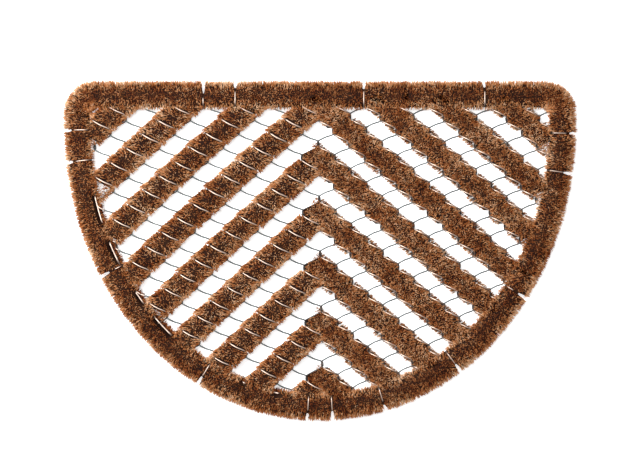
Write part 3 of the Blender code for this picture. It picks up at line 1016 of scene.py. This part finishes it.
def to_mat(local, axes, side):
    """From places along, across and up to places on the mat."""
    apex, along, across = axes
    run = local[:, 0] + local[:, 1] * leg_shear(side)
    flat = apex + run[:, None] * along + local[:, 1:2] * across
    return np.column_stack((*in_net(*flat.T), local[:, 2]))


def bar_cells(side, axes):
    """The middles of a bar's cells that show inside the border."""
    apex, along, _ = axes
    middles = (FIRST_WIRE[side] + 0.5 + np.arange(MOST_CELLS)) * PITCH
    spots = apex + middles[:, None] * along
    return middles[depth_inside(*in_net(*spots.T)) > BAR_END_INSET - PITCH / 2]


def bar_fibres(side, cells, axes):
    """Roots and tips of a bar's fibres, and the tone that each one's own varies about."""
    length = PITCH * len(cells)
    ragged = random.uniform(*RAGGED[side], (2, len(cells)))
    open_count = int(length * (OPEN_DENSITY if side == LEFT else UNDER_DENSITY))
    held_count = int(length * (HELD_DENSITY if side == RIGHT else UNDER_DENSITY))
    open_tip, open_grip = open_face(cells, open_count, ragged, *NARROWING[side])
    held_tip, held_grip = held_face(cells, held_count, leg_shear(side))
    flipped = (held_tip, held_grip) if side == LEFT else (open_tip, open_grip)
    for spots in flipped:
        spots[:, 2] = PILE_TOP - spots[:, 2]
    tips, grips = [open_tip, held_tip], [open_grip, held_grip]
    tones = [np.full(len(open_tip) + len(held_tip), BAR_TONE)]
    shares = [np.ones(len(open_tip) + len(held_tip))]
    if side == RIGHT:
        for sign, shortest, longest in COMBS:
            comb_tip, comb_grip = comb(cells, sign, shortest, longest, leg_shear(side))
            tips.append(comb_tip)
            grips.append(comb_grip)
            tones.append(np.full(len(comb_tip), COMB_LIT_TONE))
            shares.append(random.uniform(*COMB_LENGTH_SHARE, len(comb_tip)))
    tip = to_mat(np.vstack(tips), axes, side)
    grip = to_mat(np.vstack(grips), axes, side)
    inside = depth_inside(tip[:, 0], tip[:, 1]) > BAR_END_INSET
    length_share = np.concatenate(shares)[inside]
    root, tip = lay_fibres(gather_locks(tip[inside]), grip[inside], length_share)
    return root, tip, np.concatenate(tones)[inside]


def bar_core(side, cells, axes):
    """A bmesh of a bar's core: three sections a cell, those inside the border's outer edge."""
    full, at_wire = CORE_FULL, CORE_AT_WIRE
    if side == RIGHT:
        full, at_wire = turned_over(full), turned_over(at_wire)
    kept = []
    for cell in cells:
        for change, section in ((-PITCH / 2, at_wire), (FULL_AFTER_WIRE - PITCH / 2, full),
                                (PITCH / 2 - FULL_AFTER_WIRE, full)):
            corners = bar_section(side, cell + change, axes, section)
            x, y, _ = np.array(corners).T
            if depth_inside(x, y).min() > CORE_END_INSET:
                kept.append(corners)
    return bridged_core(kept)


def make_bar(side, chevron):
    """Add one bar as a piece, and give back how many triangles it has."""
    axes = bar_axes(side, chevron)
    cells = bar_cells(side, axes)
    root, tip, middle = bar_fibres(side, cells, axes)
    core = bar_core(side, cells, axes)
    name = f"{'left' if side == LEFT else 'right'}_bar_{chevron - CHEVRONS[0] + 1}"
    mesh = brush_mesh(name + "_coir", core, root, tip, fibre_tones(tip, middle))
    add_piece(name + "_coir", mesh, coir, "coir_fibre", name)
    return triangles(mesh)


bar_triangles = 0
for chevron in CHEVRONS:
    for side in (LEFT, RIGHT):
        bar_triangles += make_bar(side, chevron)
print("bars:", bar_triangles, "triangles")

# %% [markdown]
# The border's tufts are gripped all along on the frame wire and fan out over the edge, so its
# outer fibres lie almost flat and the inner ones stand up. At a parting the fibres lean away
# from the tail of a wire and leave a notch in the outer edge. The partings come first,
# because fibres, core and wire tails all follow them.

# %% Partings of the border
PARTINGS = (
    # x, y, depth
    (-173, 252, 17),
    (-125, 252, 7),
    (64, 252, 9),
    (244, 252, 6),
    (381, 175, 7),
    (377, 115, 12),
    (300, -66, 14),
    (206, -174, 12),
    (98, -238, 6),
    (19, -252, 12),
    (-19, -252, 8),
    (-180, -194, 12),
    (-317, -33, 14),
    (-378, 132, 8),
    (-381, 180, 9),
)
PARTING_HALF_WIDTH = 2.6
PARTING_LEAN = 0.5
LEAN_FADE = 4
CREASE_HALF_WIDTH = 0.9
NO_NOTCH = -5.0


def notch_depths(distance):
    """Depth of the notches at distances along the edge, and the push away from the nearest."""
    depth = np.full(len(distance), NO_NOTCH)
    push = np.zeros(len(distance))
    for x, y, deep in PARTINGS:
        offset = distance - edge_distance(x, y)
        offset = np.mod(offset + EDGE_RUN[-1] / 2, EDGE_RUN[-1]) - EDGE_RUN[-1] / 2
        depth = np.maximum(depth, deep * (1 - (offset / PARTING_HALF_WIDTH) ** 2))
        depth = np.where(np.abs(offset) < CREASE_HALF_WIDTH, BORDER_INNER, depth)
        push += PARTING_LEAN * np.sign(offset) * np.exp(-np.abs(offset) / LEAN_FADE)
    return depth, push


print(len(PARTINGS), "partings, the deepest", max(deep for _, _, deep in PARTINGS), "mm")

# %% [markdown]
# The tips of the border's fibres lie on three rows of points, pairs of distance from the outer
# edge and height: over the top, down the inner side, and sparsely along the underside. Their tone
# carries painted light: lighter towards both rims of the border and darker in its middle, where one
# looks down into the brush. Where the frame wire lies bare, the coir over and inside it is sparse
# and low, and painted dark as shade.

# %% Fibres of the border
OVER_PATH = np.array([(4, 2), (-1, 6), (-3, 12), (-3, 20), (0, 27), (7, 31), (17, 32),
                      (32, 32), (39, 30), (42, 26)])
INNER_PATH = np.array([(42.5, 25), (43, 18), (41, 9), (37, 4)])
UNDER_PATH = np.array([(6, 0.4), (34, 0.4), (37, 2)])
FIBRE_ROWS = (
    # row of points, and fibres a square millimetre
    (OVER_PATH, 0.297),
    (INNER_PATH, 0.10),
    (UNDER_PATH, 0.08),
)
BORDER_MIDDLE = 20
BORDER_GRIP = 0.38
BORDER_GRIP_Z = 14
GRIP_DISTANCE = 10
CREASE_STAYS = 0.12
# painted light and shade in the border's tone: lighter rims, darker middle, darker still where the
# wire is bare
LIT_RIM_TONE = 0.67
SHADED_MIDDLE_TONE = 0.46
LIT_RIM_SPREAD = 300
BARE_SHADE_TONE = 0.30
BARE_FROM, BARE_TO = 28.5, 37.5
BARE_DROP = 7


def border_fibres(first, last, path, density):
    """Roots, tips and tones of the fibres on one side of a stretch of the border."""
    length = run_along(path)[-1]
    count = int(density * (last - first) * length)
    distance = random.uniform(first, last, count)
    inset, height = along_path(path, random.uniform(0, 1, count) * length).T
    depth, push = notch_depths(distance)
    bare = bare_share(distance)
    over_wire = (inset > BARE_FROM) & (inset < BARE_TO) & (bare > random.uniform(0, 1, count))
    stays = random.uniform(0, 1, count) < CREASE_STAYS
    keep = ((inset > depth) | stays) & ~over_wire
    distance, inset, height, push = distance[keep], inset[keep], height[keep], push[keep]
    inner = (inset > FRAME_INSET) * bare[keep]
    height = height - BARE_DROP * inner * (height > MID_Z)
    # painted light at the rims, painted shade in the middle and in the bare stretches
    lit_rim_share = np.clip((inset - BORDER_MIDDLE) ** 2 / LIT_RIM_SPREAD, 0, 1)
    middle = SHADED_MIDDLE_TONE + (LIT_RIM_TONE - SHADED_MIDDLE_TONE) * lit_rim_share
    middle = middle + (BARE_SHADE_TONE - middle) * inner
    edge, inward = edge_at(distance)
    beside = np.column_stack((-inward[:, 1], inward[:, 0]))
    grip_inset = BORDER_MIDDLE + BORDER_GRIP * (inset - BORDER_MIDDLE)
    line = np.column_stack((inward * (inset - grip_inset)[:, None], height - BORDER_GRIP_Z))
    line /= np.linalg.norm(line, axis=1)[:, None]
    line[:, :2] -= beside * push[:, None]
    tip = np.column_stack((edge + inward * inset[:, None], height))
    tip = gather_locks(tip)
    root, tip = lay_fibres(tip, tip - line * GRIP_DISTANCE)
    return root, tip, fibre_tones(tip, middle)


print("the border's fibres follow", round(run_along(OVER_PATH)[-1]), "mm over the top")

# %% [markdown]
# The core of the border is bridged from sections, as a bar's is, with extra sections at each
# parting, where it draws back. Fibres and core are made in four stretches, each under the limit
# for one piece, and the cores of two stretches overlap a little.

# %% Brush border
CORE_OUTSIDE = ((3.5, 11), (3.5, 20), (9, 25.5), (18, 27))
CORE_BELOW = ((36, 9), (28, 5), (18, 4.5), (9, 6.5))
BORDER_CORE = np.array((*CORE_OUTSIDE, (31, 27), (37, 23), (37.5, 16), *CORE_BELOW))
BARE_CORE = np.array((*CORE_OUTSIDE, (28, 25), (30.5, 13), (38, 12), *CORE_BELOW))
CORE_STEP = 11
CORE_OVERLAP = 3
CORE_BEHIND_NOTCH = 3
NOTCH_STATIONS = np.array([-2.8, -1.1, 1.1, 2.8])
STRETCHES = 4


def border_core(first, last):
    """A bmesh of the core of one stretch of the border."""
    steps = int((last - first) / CORE_STEP)
    distance = np.linspace(first - CORE_OVERLAP, last + CORE_OVERLAP, steps)
    for x, y, _ in PARTINGS:
        near = edge_distance(x, y) + NOTCH_STATIONS
        if first < near[0] and near[-1] < last:
            distance = distance[np.abs(distance - near.mean()) > CORE_STEP / 2]
            distance = np.sort(np.concatenate((distance, near)))
    depth, _ = notch_depths(distance)
    depth = np.where(depth < BORDER_INNER, depth, NO_NOTCH)
    edge, inward = edge_at(distance)
    sections = []
    for spot, direction, cut, bare in zip(edge, inward, depth, bare_share(distance)):
        section = []
        for inset, height in (1 - bare) * BORDER_CORE + bare * BARE_CORE:
            place = spot + direction * max(inset, cut + CORE_BEHIND_NOTCH)
            section.append(Vector((*place, height)))
        sections.append(section)
    return bridged_core(sections)


border_triangles = 0
stretch = EDGE_RUN[-1] / STRETCHES
for number in range(STRETCHES):
    first = number * stretch
    rows = [border_fibres(first, first + stretch, *row) for row in FIBRE_ROWS]
    root, tip, tones = (np.concatenate(parts) for parts in zip(*rows))
    core = border_core(first, first + stretch)
    mesh = brush_mesh(f"border_coir_{number + 1}", core, root, tip, tones)
    add_piece(f"border_coir_{number + 1}", mesh, coir, "coir_fibre", "border_brush")
    border_triangles += triangles(mesh)
print("border:", border_triangles, "triangles")

# %% [markdown]
# In each parting lies the tail of a spiral: from the frame wire it runs outwards through the
# border, just under the tips, and ends at the bottom of the notch.

# %% Wire tails in the partings
TAIL = ((6, 24), (14, 27.5), (24, 29.5), (33, 28.5), (36.5, 22))
TAIL_FROM_NOTCH = 1.5
TAIL_RADIUS = 0.95

tails = []
for x, y, deep in PARTINGS:
    edge, inward = edge_at(np.array([edge_distance(x, y)]))
    tail = []
    for inset, height in TAIL:
        if inset > deep + TAIL_FROM_NOTCH:
            spot = edge[0] + inward[0] * inset
            tail.append(np.array((*spot, height)))
    tails.append(tail)
tails_mesh = wire_mesh("wire_tails", tails, TAIL_RADIUS)
add_painted_highlight(tails_mesh)
add_piece("wire_tails", tails_mesh, zinc, "galvanised_wire", "wire_mesh")
print("tails:", len(tails), "with", triangles(tails_mesh), "triangles in all")
